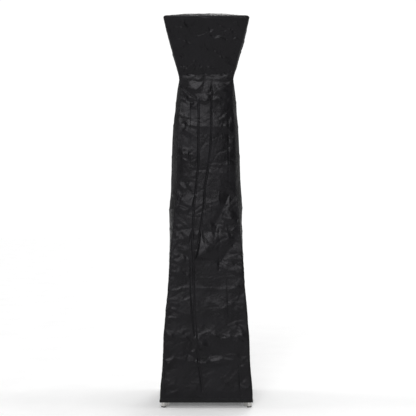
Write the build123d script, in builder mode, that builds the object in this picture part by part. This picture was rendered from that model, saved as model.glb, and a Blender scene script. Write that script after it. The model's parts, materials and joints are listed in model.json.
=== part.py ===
from build123d import *
import os
from math import hypot

"""A four-sided flame-tower patio heater under its fitted weather cover.

Frame: +Z is up, the front (door and control knob) faces -Y, and the origin is on the floor in the middle of
the four feet. Millimetres. Four leaning channel posts carry a gas cabinet, a burner deck, a glass flame tube
inside four wire guards, and a square reflector on four rods. The cover is a hood over the reflector and a
skirt down to the hem, sewn from four side panels and a top, with a zip up the middle of the back.
"""

# --- driving dimensions ---------------------------------------------------------------------------------
post_base = 248.5          # from the centre planes to the middle of a post's outer facet, at the floor
post_head = 105.0          # the same at head_z
head_z = 1878.0            # height where the posts end and the top plate sits
foot_z = 6.0               # the posts stand on shoes this high
facet = 24.0               # width of a post's outer facet
flange = 36.0              # depth of a post's flanges
post_wall = 2.0
sheet = 1.5                # cabinet sheet
panel_inset = 4.0          # cabinet faces lie this far inside the post line
panel_margin = 23.0        # and stop this far short of it

shelf_z = 90.0
door_low, door_high = 104.0, 684.0
fascia_low, fascia_high = 688.0, 768.0
shield_z = 655.0           # heat shield over the gas cylinder
deck_z = 772.0
controls_z = 728.0         # height of the knob and the igniter on the fascia
knob_x, igniter_x = 0.0, 62.0

tube_radius, tube_wall = 50.0, 3.0
tube_low, tube_high = deck_z + 8.0, 1892.0
guard_low, guard_high = 800.0, 1858.0
rod_place = 78.0           # reflector rods stand at plus and minus this in x and y
rod_radius = 4.0
deflector_z = 2150.0

# the reflector's outer face, as half width and height from the rim up
reflector_shape = [(236.0, 2194.0), (236.0, 2208.0), (230.0, 2218.0), (126.0, 2254.0), (40.0, 2261.0)]
cap_nut_z = 2258.6

cylinder_radius = 150.0
cylinder_low, cylinder_shoulder, cylinder_high = 112.0, 430.0, 492.0
cylinder_wall = 3.0

cloth = 2.0                # the cover's solids are thicker than its real 0.3 mm cloth
hem_low, hem_high = 30.0, 42.0
hem_half = 263.5           # outside half width of the cover at the hem
waist_half, waist_z = 156.0, 1882.0
hood_half, hood_z = 245.5, 2215.5
# the top's outer face, as half width and height from the hood's rim up
cover_crown = [(hood_half, hood_z), (237.5, 2224.5), (130.0, 2262.0), (40.0, 2270.0)]
peak_z = cover_crown[-1][1]
zip_high = 1850.0          # upper end of the zip, just under the waist
zip_low = 791.0            # lower end of the zip
slit_low = 790.0           # the back is sewn shut from here down
zip_half = 3.5             # half the gap that the zip's teeth fill

# --- shared geometry --------------------------------------------------------------------------------------
lean = (post_base - post_head) / head_z
slope = hypot(1, lean)     # length along a leaning face per unit of height
ramp = hypot(1, lean, lean)
corner_dir = Vector(-lean, -lean, 1)
skirt_lean = (hem_half - waist_half) / (waist_z - hem_low)
os.makedirs("parts", exist_ok=True)


def save(part, label):
    part.label = label
    export_step(part, f"parts/{label}.step")


def reach(z):
    """Distance of the post line from the centre planes at height z."""
    return post_base - lean * z


def cover_half(z):
    """The skirt's outside half width at height z."""
    return hem_half - skirt_lean * (z - hem_low)


def front_face(inset=panel_inset):
    """The leaning front plane: x across, y up along the face, and its normal outwards."""
    return Plane(origin=(0, -(post_base - inset), 0), x_dir=(1, 0, 0), z_dir=(0, -1, lean))


def front_spot(x, z, out=0.0):
    """A point on the front face at height z, moved outwards by out."""
    return front_face().from_local_coords(Vector(x, z * slope, out))


def face_quad(z_low, z_high, margin=panel_margin):
    """Corners, in front-face coordinates, of the area between two posts."""
    low, high = reach(z_low) - margin, reach(z_high) - margin
    return [(-low, z_low * slope), (low, z_low * slope), (high, z_high * slope), (-high, z_high * slope)]


def screw_spots(z_low, z_high):
    """Where a panel is screwed down, in front-face coordinates: both sides, near the ends and the middle."""
    heights = (z_low + 25, (z_low + z_high) / 2, z_high - 25)
    return [(side * (reach(z) - panel_margin - 9), z * slope) for z in heights for side in (-1, 1)]


def turned(part, degrees):
    return part.rotate(Axis.Z, degrees)


# --- posts and shoes --------------------------------------------------------------------------------------
with BuildPart() as post:
    at_foot = reach(foot_z)
    with BuildSketch(Plane((at_foot, at_foot, foot_z), x_dir=(1, 1, 0), z_dir=(0, 0, 1))):
        Rectangle(flange, facet, align=(Align.MAX, Align.CENTER))
        with Locations((-post_wall, 0)):
            Rectangle(flange, facet - 2 * post_wall, align=(Align.MAX, Align.CENTER), mode=Mode.SUBTRACT)
    extrude(amount=(head_z - foot_z) * ramp, dir=corner_dir)
    outer_edges = post.edges().filter_by(lambda e: e.length > head_z - foot_z).sort_by(
        lambda e: e.center().X + e.center().Y
    )[-2:]
    fillet(outer_edges, radius=3)

post_names = {
    "corner_post_rear_right": 0,
    "corner_post_rear_left": 90,
    "corner_post_front_left": 180,
    "corner_post_front_right": 270,
}
for label, angle in post_names.items():
    save(turned(post.part, angle), label)

with BuildPart() as foot_shoes:
    for angle in post_names.values():
        diagonal = Vector(1, 1, 0).rotate(Axis.Z, angle)
        centre = Vector(post_base, post_base, 0).rotate(Axis.Z, angle)
        with BuildSketch(Plane(centre, x_dir=diagonal, z_dir=(0, 0, 1))):
            with Locations((-6.5, 0)):
                RectangleRounded(15, facet + 2, 4)
        extrude(amount=foot_z)
save(foot_shoes.part, "foot_shoes")

# --- cabinet ------------------------------------------------------------------------------------------------
shelf_half = reach(shelf_z) - 8
with BuildPart() as base_shelf:
    with BuildSketch(Plane.XY.offset(shelf_z)) as shelf_outline:
        Rectangle(2 * shelf_half, 2 * shelf_half)
        chamfer(shelf_outline.vertices(), 38)
    extrude(amount=2)
save(base_shelf.part, "base_shelf")

with BuildPart() as shelf_rails:
    with BuildSketch(Plane.XY.offset(shelf_z - 14)):
        with GridLocations(0, 2 * 214, 1, 2):
            Rectangle(2 * 222, 12)
            Rectangle(2 * 222, 9, mode=Mode.SUBTRACT)
    extrude(amount=14)
    with BuildSketch(Plane.XY.offset(shelf_z - 1.5)):
        with GridLocations(0, 2 * 214, 1, 2):
            Rectangle(2 * 222, 12)
    extrude(amount=1.5)
save(shelf_rails.part, "shelf_rails")


def vent_rows(z):
    """Slots for air, three rows of seven, about height z on the front face."""
    with Locations((0, z * slope)):
        with GridLocations(38, 14, 7, 3):
            SlotOverall(26, 5)


with BuildPart() as side_panel:
    with BuildSketch(front_face()) as outline:
        Polygon(*face_quad(shelf_z + 14, fascia_high), align=None)
    extrude(amount=-sheet)
    with BuildSketch(front_face()):
        vent_rows(175)
        vent_rows(620)
        with Locations(*screw_spots(shelf_z + 14, fascia_high)):
            Circle(2.6)
    extrude(amount=-sheet, mode=Mode.SUBTRACT)

save(turned(side_panel.part, 270), "side_panel_left")
save(turned(side_panel.part, 90), "side_panel_right")
save(turned(side_panel.part, 180), "rear_panel")

with BuildPart() as control_fascia:
    with BuildSketch(front_face()):
        Polygon(*face_quad(fascia_low, fascia_high), align=None)
        with Locations((knob_x, controls_z * slope)):
            Circle(7, mode=Mode.SUBTRACT)
        with Locations((igniter_x, controls_z * slope)):
            Circle(9.2, mode=Mode.SUBTRACT)
        fascia_screws = [(side * 150, controls_z * slope) for side in (-1, 1)]
        with Locations(*fascia_screws):
            Circle(2.6, mode=Mode.SUBTRACT)
    extrude(amount=-sheet)
save(control_fascia.part, "control_fascia")

with BuildPart() as panel_screws:
    with BuildSketch(front_face()):
        with Locations(*screw_spots(shelf_z + 14, fascia_high)):
            Circle(4.5)
    extrude(amount=2)
    with BuildSketch(front_face()):
        with Locations(*screw_spots(shelf_z + 14, fascia_high)):
            Circle(2.4)
    extrude(amount=-5)
with BuildPart() as fascia_screw_set:
    with BuildSketch(front_face()):
        with Locations(*fascia_screws):
            Circle(4.5)
    extrude(amount=2)
    with BuildSketch(front_face()):
        with Locations(*fascia_screws):
            Circle(2.4)
    extrude(amount=-5)
all_screws = Compound(
    [turned(panel_screws.part, angle) for angle in (90, 180, 270)] + [fascia_screw_set.part]
)
save(Compound(all_screws.solids()), "panel_screws")

# --- door -----------------------------------------------------------------------------------------------------
hinge_margin, hinge_out = 24.5, 3.0
hinge_low = front_spot(-(reach(0) - hinge_margin), 0, hinge_out)
hinge_dir = (front_spot(-(reach(head_z) - hinge_margin), head_z, hinge_out) - hinge_low).normalized()
pin_radius, knuckle_radius, running_gap = 2.0, 3.3, 0.06
hinge_heights = (180.0, 600.0)
print("door hinge at", tuple(round(v, 3) for v in hinge_low), "along", tuple(round(v, 5) for v in hinge_dir))


def hinge_plane(z):
    """A plane square to the door's hinge line at height z on it, with x towards the post."""
    return Plane(origin=hinge_low + hinge_dir * (z / hinge_dir.Z), x_dir=(-1, 1, 0), z_dir=hinge_dir)


fixed_knuckles = [z + step for z in hinge_heights for step in (-18, 18)]
pull_x, pull_z = reach(430) - 60, 430.0
with BuildPart() as door_panel:
    with BuildSketch(front_face()):
        Polygon(*face_quad(door_low, door_high, hinge_margin), align=None)
        with Locations(*[(hinge_margin - reach(z), z * slope) for z in fixed_knuckles]):
            Rectangle(9, 13, mode=Mode.SUBTRACT)
        with Locations((0, (door_low + 32) * slope), (0, (door_high - 32) * slope)):
            with GridLocations(38, 14, 7, 2):
                SlotOverall(26, 5, mode=Mode.SUBTRACT)
        with Locations((pull_x, pull_z * slope)):
            Circle(2.6, mode=Mode.SUBTRACT)
    extrude(amount=-sheet)
    for z in hinge_heights:
        with BuildSketch(hinge_plane(z)):
            Circle(knuckle_radius)
        extrude(amount=12, both=True)
        with BuildSketch(hinge_plane(z)):
            Circle(pin_radius + running_gap)
        extrude(amount=14, both=True, mode=Mode.SUBTRACT)
save(door_panel.part, "door_panel")

with BuildPart() as hinge_pins:
    for z in hinge_heights:
        with BuildSketch(hinge_plane(z)):
            Circle(pin_radius)
        extrude(amount=24, both=True)
save(hinge_pins.part, "door_hinge_pins")

with BuildPart() as fixed_hinges:
    for z in fixed_knuckles:
        with BuildSketch(hinge_plane(z)):
            Circle(knuckle_radius)
            with Locations((knuckle_radius / 2 + 0.6, 0)):
                Rectangle(knuckle_radius + 1.2, 3)
            Circle(pin_radius, mode=Mode.SUBTRACT)
        extrude(amount=5.5, both=True)
save(fixed_hinges.part, "door_hinge_knuckles")


def out_plane(x, z, out=0.0):
    """A plane facing straight out of the front, at a spot moved outwards by out."""
    return Plane(front_spot(x, z, out), x_dir=(1, 0, 0), z_dir=front_face().z_dir)


with BuildPart() as door_pull:
    with BuildSketch(out_plane(pull_x, pull_z)):
        Circle(5)
    extrude(amount=5)
    with BuildSketch(out_plane(pull_x, pull_z, 5)):
        Circle(11)
    extrude(amount=8)
    fillet(door_pull.faces().sort_by(Axis.Y)[0].edges(), radius=2.5)
    with BuildSketch(out_plane(pull_x, pull_z)):
        Circle(2.4)
    extrude(amount=-8)
save(door_pull.part, "door_pull")

with BuildPart() as door_catch:
    with BuildSketch(front_face()):
        with Locations((reach(646) - panel_margin - 40, 640 * slope)):
            RectangleRounded(34, 14, 2)
    extrude(amount=-12)
    with BuildSketch(front_face()):
        with Locations((reach(646) - panel_margin - 40, 640 * slope)):
            Rectangle(40, 20)
    extrude(amount=-sheet - 0.5, mode=Mode.SUBTRACT)
save(door_catch.part, "door_catch")

# --- burner deck, heat shield and gas train -----------------------------------------------------------------------
deck_half = reach(deck_z) - 7
with BuildPart() as burner_deck:
    with BuildSketch(Plane.XY.offset(deck_z)) as deck_outline:
        Rectangle(2 * deck_half, 2 * deck_half)
        chamfer(deck_outline.vertices(), 39)
        Circle(36, mode=Mode.SUBTRACT)
    extrude(amount=2)
save(burner_deck.part, "burner_deck")

shield_half = reach(shield_z) - panel_inset - sheet - 0.8
hose_x, hose_y = -84.0, -112.0
with BuildPart() as heat_shield:
    with BuildSketch(Plane.XY.offset(shield_z)) as shield_outline:
        Rectangle(2 * shield_half, 2 * shield_half)
        chamfer(shield_outline.vertices(), 42)
        with Locations((0, -shield_half)):
            Rectangle(2 * shield_half, 32, mode=Mode.SUBTRACT)
        with Locations((hose_x, hose_y)):
            Circle(10, mode=Mode.SUBTRACT)
    extrude(amount=sheet)
save(heat_shield.part, "heat_shield")


def behind_fascia(x, depth):
    """A plane square to the fascia at the controls' height, depth behind its inner side."""
    return out_plane(x, controls_z, -sheet - depth)


valve_depth = 42.0
knob_gap, knob_depth = 5.0, 13.0
with BuildPart() as gas_valve:
    with BuildSketch(behind_fascia(knob_x, valve_depth)):
        RectangleRounded(40, 34, 5)
    extrude(amount=valve_depth - 6)
    with BuildSketch(behind_fascia(knob_x, 6)):
        Circle(12)
    extrude(amount=6)
    with BuildSketch(behind_fascia(knob_x, valve_depth)):
        Circle(3.1)
    extrude(amount=valve_depth, mode=Mode.SUBTRACT)
    # inlet boss under the valve and outlet boss behind it
    valve_mid = front_spot(knob_x, controls_z, -sheet - valve_depth / 2 - 4)
    with BuildSketch(Plane(valve_mid + Vector(-10, 0, -26), z_dir=(0, 0, 1))):
        RegularPolygon(8, 6)
    extrude(amount=12)
save(gas_valve.part, "gas_valve")

with BuildPart() as valve_stem:
    with BuildSketch(behind_fascia(knob_x, 30)):
        Circle(3.0)
    extrude(amount=30 + sheet + knob_gap + knob_depth - 3.5)
save(valve_stem.part, "valve_stem")

with BuildPart() as control_knob:
    knob_plane = out_plane(knob_x, controls_z, knob_gap)
    with BuildSketch(knob_plane):
        Circle(24)
    extrude(amount=4)
    with BuildSketch(knob_plane.offset(4)):
        Circle(20)
        with PolarLocations(21.5, 18):
            Circle(1.8, mode=Mode.SUBTRACT)
    extrude(amount=knob_depth - 4)
    fillet(control_knob.faces().sort_by(Axis.Y)[0].edges().filter_by(GeomType.LINE, reverse=True), radius=0.6)
    with BuildSketch(knob_plane.offset(knob_depth - 1)):
        with Locations((0, 12)):
            Rectangle(3, 12)
    extrude(amount=1, mode=Mode.SUBTRACT)
    with BuildSketch(knob_plane):
        Circle(3.05)
    extrude(amount=knob_depth - 3, mode=Mode.SUBTRACT)
save(control_knob.part, "control_knob")

with BuildPart() as igniter_body:
    with BuildSketch(behind_fascia(igniter_x, 44)):
        Circle(9.0)
        Circle(5.6, mode=Mode.SUBTRACT)
    extrude(amount=44 + sheet)
    with BuildSketch(out_plane(igniter_x, controls_z)):
        Circle(12)
        Circle(5.6, mode=Mode.SUBTRACT)
    extrude(amount=2)
    with BuildSketch(behind_fascia(igniter_x, 48)):
        Circle(9.0)
    extrude(amount=4)
save(igniter_body.part, "igniter_body")

igniter_travel = 6.0
with BuildPart() as igniter_button:
    with BuildSketch(behind_fascia(igniter_x, 24)):
        Circle(5.5)
    extrude(amount=24 + sheet + 2 + igniter_travel + 1)
    fillet(igniter_button.faces().sort_by(Axis.Y)[0].edges(), radius=1.5)
save(igniter_button.part, "igniter_button")

# the venturi runs back from the valve, turns up at the axis and carries the burner head
valve_back = front_spot(knob_x, controls_z, -sheet - valve_depth)
with BuildPart() as injector:
    with BuildSketch(Plane((0, valve_back.Y + 4, controls_z), z_dir=(0, 1, 0))):
        RegularPolygon(7, 6)
    extrude(amount=10)
    with BuildSketch(Plane((0, valve_back.Y + 14, controls_z), z_dir=(0, 1, 0))):
        Circle(3.5)
    extrude(amount=10)
save(injector.part, "injector")

with BuildPart() as venturi_tube:
    with BuildLine() as venturi_path:
        FilletPolyline((0, valve_back.Y + 26, controls_z), (0, 0, controls_z), (0, 0, deck_z + 6), radius=22)
    with BuildSketch(Plane(venturi_path.line @ 0, z_dir=venturi_path.line % 0)):
        Circle(11)
        Circle(9.5, mode=Mode.SUBTRACT)
    sweep()
save(venturi_tube.part, "venturi_tube")

with BuildPart() as burner_head:
    with BuildSketch(Plane.XY.offset(deck_z + 6)):
        Circle(27)
    extrude(amount=3)
    with BuildSketch(Plane.XY.offset(deck_z + 9)):
        Circle(27)
        Circle(25.5, mode=Mode.SUBTRACT)
    extrude(amount=26)
    with BuildSketch(Plane.XY.offset(deck_z + 33)):
        Circle(26)
    extrude(amount=2)
    with BuildSketch(Plane.XY.offset(deck_z + 33)):
        for ring, count in ((7, 6), (14, 12), (21, 18)):
            with PolarLocations(ring, count):
                Circle(1.6)
    extrude(amount=2, mode=Mode.SUBTRACT)
    with BuildSketch(Plane.XY.offset(deck_z + 6)):
        Circle(9.5)
    extrude(amount=3, mode=Mode.SUBTRACT)
save(burner_head.part, "burner_head")

probe_top = deck_z + 48
with BuildPart() as flame_sensor:
    with BuildLine() as sensor_path:
        FilletPolyline(
            (14, valve_back.Y + 2, controls_z + 10),
            (14, -31, controls_z + 10),
            (14, -31, probe_top),
            radius=14,
        )
    with BuildSketch(Plane(sensor_path.line @ 0, z_dir=sensor_path.line % 0)):
        Circle(1.6)
    sweep()
save(flame_sensor.part, "flame_sensor")

igniter_back = front_spot(igniter_x, controls_z, -sheet - 48.5)
with BuildPart() as spark_lead:
    with BuildLine() as spark_path:
        FilletPolyline(
            igniter_back,
            (igniter_x, -14, igniter_back.Z),
            (31, -14, igniter_back.Z),
            (31, -14, probe_top),
            radius=14,
        )
    with BuildSketch(Plane(spark_path.line @ 0, z_dir=spark_path.line % 0)):
        Circle(1.6)
    sweep()
save(spark_lead.part, "spark_lead")

with BuildPart() as tilt_switch:
    with BuildSketch(Plane.XY.offset(deck_z - 34)):
        with Locations((96, 30)):
            RectangleRounded(46, 26, 3)
    extrude(amount=34)
save(tilt_switch.part, "tilt_switch")

# --- gas cylinder ----------------------------------------------------------------------------------------------
bung_radius = 12.0


def cylinder_body(inset):
    """The cylinder's outline turned into a solid, all its faces moved in by inset."""
    side = cylinder_radius - inset
    low, high = cylinder_low + inset, cylinder_high - inset
    bend = 118 - inset / 2
    with BuildPart() as body:
        with BuildSketch(Plane.XZ):
            with BuildLine():
                Line((0, low), (40, low))
                ThreePointArc((40, low), (bend, cylinder_low + 14 + inset), (side, cylinder_low + 62))
                Line((side, cylinder_low + 62), (side, cylinder_shoulder))
                ThreePointArc((side, cylinder_shoulder), (bend, cylinder_shoulder + 47 - inset), (22, high))
                Line((22, high), (0, high))
                Line((0, high), (0, low))
            make_face()
        revolve(axis=Axis.Z)
    return body.part


cylinder_outside, cylinder_inside = cylinder_body(0), cylinder_body(cylinder_wall)
with BuildPart() as gas_cylinder:
    add(cylinder_outside)
    add(cylinder_inside, mode=Mode.SUBTRACT)
    with BuildSketch(Plane.XY.offset(cylinder_high)):
        Circle(bung_radius)
    extrude(amount=-2 * cylinder_wall, mode=Mode.SUBTRACT)
save(gas_cylinder.part, "gas_cylinder")

foot_ring_low = shelf_z + 2
with BuildPart() as foot_ring:
    with BuildSketch(Plane.XY.offset(foot_ring_low)):
        Circle(112)
        Circle(109, mode=Mode.SUBTRACT)
    extrude(amount=cylinder_low + 15 - foot_ring_low)
    add(cylinder_outside, mode=Mode.SUBTRACT)
save(foot_ring.part, "cylinder_foot_ring")

collar_low, collar_high = cylinder_high - 10, 598.0
with BuildPart() as collar:
    with BuildSketch(Plane.XY.offset(collar_low - 30)):
        Circle(98)
        Circle(95, mode=Mode.SUBTRACT)
    extrude(amount=collar_high - collar_low + 30)
    with BuildSketch(Plane.XZ):
        with Locations((0, collar_high - 24)):
            SlotOverall(90, 26)
    extrude(amount=-130, mode=Mode.SUBTRACT)
    with BuildSketch(Plane.XZ):
        with Locations((0, collar_high + 1)):
            Rectangle(150, collar_high + 1 - collar_low - 14, align=(Align.CENTER, Align.MAX))
    extrude(amount=130, mode=Mode.SUBTRACT)
    add(cylinder_outside, mode=Mode.SUBTRACT)
save(collar.part, "cylinder_collar")

valve_seat = cylinder_high
outlet_z = valve_seat + 26
with BuildPart() as cylinder_valve:
    with BuildSketch(Plane.XY.offset(valve_seat)):
        Circle(15)
    extrude(amount=8)
    with BuildSketch(Plane.XY.offset(valve_seat + 8)):
        RegularPolygon(14, 6)
    extrude(amount=34)
    with BuildSketch(Plane.XZ.offset(10)):
        with Locations((0, outlet_z)):
            Circle(10)
    extrude(amount=16)
    with BuildSketch(Plane.XY.offset(valve_seat + 42)):
        Circle(4)
    extrude(amount=16)
save(cylinder_valve.part, "cylinder_valve")

wheel_z = valve_seat + 46
with BuildPart() as handwheel:
    with BuildSketch(Plane.XY.offset(wheel_z)):
        Circle(30)
        with PolarLocations(33, 8):
            Circle(7, mode=Mode.SUBTRACT)
        Circle(4.06, mode=Mode.SUBTRACT)
    extrude(amount=14)
    fillet(handwheel.faces().sort_by(Axis.Z)[-1].outer_wire().edges(), radius=1.5)
save(handwheel.part, "cylinder_handwheel")

regulator_y = -26.0
with BuildPart() as regulator:
    with BuildSketch(Plane.XZ.offset(-regulator_y)):
        with Locations((0, outlet_z)):
            RegularPolygon(13, 6)
    extrude(amount=16)
    with BuildSketch(Plane.XZ.offset(-regulator_y + 16)):
        with Locations((0, outlet_z)):
            Circle(8)
    extrude(amount=14)
    with Locations((0, regulator_y - 50, outlet_z + 2)):
        Cylinder(30, 22)
        Cylinder(22, 30)
    with BuildSketch(Plane.YZ.offset(-28)):
        with Locations((regulator_y - 50, outlet_z + 2)):
            Circle(6)
    extrude(amount=-18)
save(regulator.part, "regulator")

hose_start = Vector(-46, regulator_y - 50, outlet_z + 2)
hose_end = valve_mid + Vector(-10, 0, -26)
hose_turn_z = shield_z + 21
with BuildPart() as gas_hose:
    with BuildLine() as hose_path:
        FilletPolyline(
            hose_start,
            (hose_x, hose_start.Y, hose_start.Z),
            (hose_x, hose_y, 600),
            (hose_x, hose_y, hose_turn_z),
            (hose_end.X, hose_end.Y, hose_turn_z),
            hose_end,
            radius=16,
        )
    with BuildSketch(Plane(hose_path.line @ 0, z_dir=hose_path.line % 0)):
        Circle(4.5)
    sweep()
print("gas hose length", round(sum(edge.length for edge in hose_path.edges()), 1))
save(gas_hose.part, "gas_hose")

# --- flame tube, guards and reflector ---------------------------------------------------------------------------
with BuildPart() as tube_seat:
    with BuildSketch(Plane.XY.offset(deck_z + 2)):
        Circle(tube_radius + 8)
        Circle(tube_radius - 12, mode=Mode.SUBTRACT)
    extrude(amount=6)
    with BuildSketch(Plane.XY.offset(deck_z + 8)):
        Circle(tube_radius + 8)
        Circle(tube_radius + 0.3, mode=Mode.SUBTRACT)
    extrude(amount=14)
    fillet(tube_seat.faces().sort_by(Axis.Z)[-1].outer_wire().edges(), radius=2.5)
save(tube_seat.part, "tube_seat_ring")

with BuildPart() as glass_tube:
    with BuildSketch(Plane.XY.offset(tube_low)):
        Circle(tube_radius)
        Circle(tube_radius - tube_wall, mode=Mode.SUBTRACT)
    extrude(amount=tube_high - tube_low)
save(glass_tube.part, "glass_tube")

plate_half = reach(head_z) + 11
with BuildPart() as top_plate:
    with BuildSketch(Plane.XY.offset(head_z)) as plate_outline:
        Rectangle(2 * plate_half, 2 * plate_half)
        fillet(plate_outline.vertices(), 12)
        Circle(tube_radius + 4.5, mode=Mode.SUBTRACT)
        with GridLocations(2 * rod_place, 2 * rod_place, 2, 2):
            Circle(rod_radius + 0.1, mode=Mode.SUBTRACT)
    extrude(amount=2)
save(top_plate.part, "top_plate")

with BuildPart() as tube_collar:
    with BuildSketch(Plane.XY.offset(head_z - 4)):
        Circle(tube_radius + 4.2)
        Circle(tube_radius + 0.3, mode=Mode.SUBTRACT)
    extrude(amount=10)
    with BuildSketch(Plane.XY.offset(head_z + 2)):
        Circle(tube_radius + 9)
        Circle(tube_radius + 0.3, mode=Mode.SUBTRACT)
    extrude(amount=4)
save(tube_collar.part, "tube_collar")

wire_radius, rail_radius = 1.5, 2.5
guard_margin = 33.0        # from the post line to the axes of the guard's rails
wire_overhang = 4.0
guard_wires = 21


guard_face = front_face(panel_inset + 6)


def guard_bar(x_low, z_low, x_high, z_high, radius, out):
    """A guard bar's two ends and radius, from x and height on the guard's plane moved outwards by out."""
    ends = ((x_low, z_low * slope, out), (x_high, z_high * slope, out))
    return [guard_face.from_local_coords(Vector(*end)) for end in ends] + [radius]


rail_low, rail_high = deck_z + 2.5, head_z - 0.5
guard_bars = []
for share, radius in ((-1, rail_radius), (-0.34, wire_radius), (0.34, wire_radius), (1, rail_radius)):
    x_low = share * (reach(rail_low) - guard_margin)
    x_high = share * (reach(rail_high) - guard_margin)
    guard_bars.append(guard_bar(x_low, rail_low, x_high, rail_high, radius, 0))
for number in range(guard_wires + 1):
    z = guard_low + (guard_high - guard_low) * number / guard_wires
    half = reach(z) - guard_margin + wire_overhang
    guard_bars.append(guard_bar(-half, z, half, z, wire_radius, rail_radius))

with BuildPart() as guard:
    for start, end, radius in guard_bars:
        with BuildSketch(Plane(start, z_dir=end - start)):
            Circle(radius)
        extrude(amount=(end - start).length)
for label, angle in (("front", 0), ("right", 90), ("rear", 180), ("left", 270)):
    save(turned(guard.part, angle), f"guard_{label}")

with BuildPart() as reflector_rods:
    with BuildSketch(Plane.XY.offset(head_z - 10)):
        with GridLocations(2 * rod_place, 2 * rod_place, 2, 2):
            Circle(rod_radius)
    extrude(amount=cap_nut_z + 3 - head_z + 10)
save(reflector_rods.part, "reflector_rods")

with BuildPart() as rod_nuts:
    for z in (head_z - 6.5, head_z + 2, deflector_z - 6, deflector_z + 1.5, cap_nut_z):
        with BuildSketch(Plane.XY.offset(z)):
            with GridLocations(2 * rod_place, 2 * rod_place, 2, 2):
                RegularPolygon(7.5, 6)
                Circle(rod_radius, mode=Mode.SUBTRACT)
        extrude(amount=3.5 if z == cap_nut_z else 6)
save(rod_nuts.part, "rod_nuts")

with BuildPart() as heat_deflector:
    with BuildSketch(Plane.XY.offset(deflector_z)) as deflector_outline:
        Rectangle(190, 190)
        fillet(deflector_outline.vertices(), 10)
        with GridLocations(2 * rod_place, 2 * rod_place, 2, 2):
            Circle(rod_radius + 0.1, mode=Mode.SUBTRACT)
    extrude(amount=1.5)
save(heat_deflector.part, "heat_deflector")


def stepped_cap(steps):
    """A solid through squares of (half width, height), from the lowest up."""
    with BuildPart() as cap:
        for half, z in steps:
            with BuildSketch(Plane.XY.offset(z)):
                Rectangle(2 * half, 2 * half)
        loft(ruled=True)
    return cap.part


hollow_shape = [(half - sheet, z - sheet) for half, z in reflector_shape]
reflector_outside, reflector_hollow = stepped_cap(reflector_shape), stepped_cap(hollow_shape)
with BuildPart() as reflector:
    add(reflector_outside)
    add(reflector_hollow, mode=Mode.SUBTRACT)
    with BuildSketch(Plane.XY.offset(reflector_shape[0][1])):
        with GridLocations(2 * rod_place, 2 * rod_place, 2, 2):
            Circle(rod_radius + 0.1)
    extrude(amount=80, mode=Mode.SUBTRACT)
save(reflector.part, "reflector")

# --- cover --------------------------------------------------------------------------------------------------------


def cover_strip(levels, x_low=None, x_high=None):
    """One side of the cover at the front: a bent sheet through (half width, height) levels, mitred at its ends.

    x_low and x_high, if given, cut it straight there instead of at the corner.
    """
    with BuildPart() as strip:
        for half, z in levels:
            outer_left = -half if x_low is None else x_low
            inner_left = cloth - half if x_low is None else x_low
            outer_right = half if x_high is None else x_high
            inner_right = half - cloth if x_high is None else x_high
            with BuildSketch(Plane.XY.offset(z)):
                Polygon(
                    (outer_left, -half),
                    (outer_right, -half),
                    (inner_right, cloth - half),
                    (inner_left, cloth - half),
                    align=None,
                )
        loft(ruled=True)
    return strip.part


skirt_levels = [(cover_half(hem_high), hem_high), (waist_half, waist_z)]
hood_levels = [(waist_half, waist_z), (hood_half, hood_z)]

cover_side = Compound([cover_strip(skirt_levels), cover_strip(hood_levels)])
for label, angle in (("front", 0), ("right", 90), ("left", 270)):
    save(Compound(turned(cover_side, angle).solids()), f"cover_{label}_panel")

# the back is two halves: the zip joins them below the waist, and a seam in the hood and the lower skirt
below_zip = cover_strip([(cover_half(hem_high), hem_high), (cover_half(slit_low), slit_low)], x_high=0)
beside_zip = cover_strip([(cover_half(slit_low), slit_low), (waist_half, waist_z)], x_high=-zip_half)
back_half = Compound([below_zip, beside_zip, cover_strip(hood_levels, x_high=0)])
save(Compound(turned(back_half, 180).solids()), "cover_back_right_panel")
save(Compound(turned(mirror(back_half, about=Plane.YZ), 180).solids()), "cover_back_left_panel")

# the top is a shallow shell, taken as four quarters that meet along its diagonals
cover_under = [(half - cloth, z if z == hood_z else z - cloth) for half, z in cover_crown]
cover_shell = stepped_cap(cover_crown) - stepped_cap(cover_under)
with BuildPart() as quarter:
    with BuildSketch(Plane.XY.offset(hood_z)):
        Polygon((0, 0), (-hood_half, -hood_half), (hood_half, -hood_half), align=None)
    extrude(amount=peak_z - hood_z)
cover_quarters = [cover_shell & turned(quarter.part, angle) for angle in (0, 90, 180, 270)]
save(Compound(Compound(cover_quarters).solids()), "cover_top_panel")

hem_levels = [(hem_half + 0.5, hem_low), (cover_half(hem_high) + 0.5, hem_high)]
hem = Compound([turned(cover_strip(hem_levels), angle) for angle in (0, 90, 180, 270)])
save(Compound(hem.solids()), "cover_hem_binding")


def back_face(z, out=0.0):
    """A point in the middle of the skirt's back at height z, moved outwards by out."""
    return Vector(0, cover_half(z) + out, z)


back_up = Vector(0, -skirt_lean, 1).normalized()
back_out = Vector(0, 1, skirt_lean).normalized()
print("zip at", tuple(round(v, 2) for v in back_face(zip_high)), "along", tuple(round(v, 5) for v in back_up))


zip_plane = Plane(back_face(zip_low), x_dir=(1, 0, 0), z_dir=back_up)
zip_length = (back_face(zip_high) - back_face(zip_low)).length
with BuildPart() as zip_tapes:
    with BuildSketch(zip_plane):
        with Locations((-8.3, -cloth - 0.7), (8.3, -cloth - 0.7)):
            Rectangle(15.4, 1)
    extrude(amount=zip_length)
save(zip_tapes.part, "cover_zip_tapes")

with BuildPart() as zip_teeth:
    with BuildSketch(zip_plane):
        with Locations((0, 0.5)):
            Rectangle(6, cloth + 0.5, align=(Align.CENTER, Align.MAX))
    extrude(amount=zip_length)
save(zip_teeth.part, "cover_zip_teeth")

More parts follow.
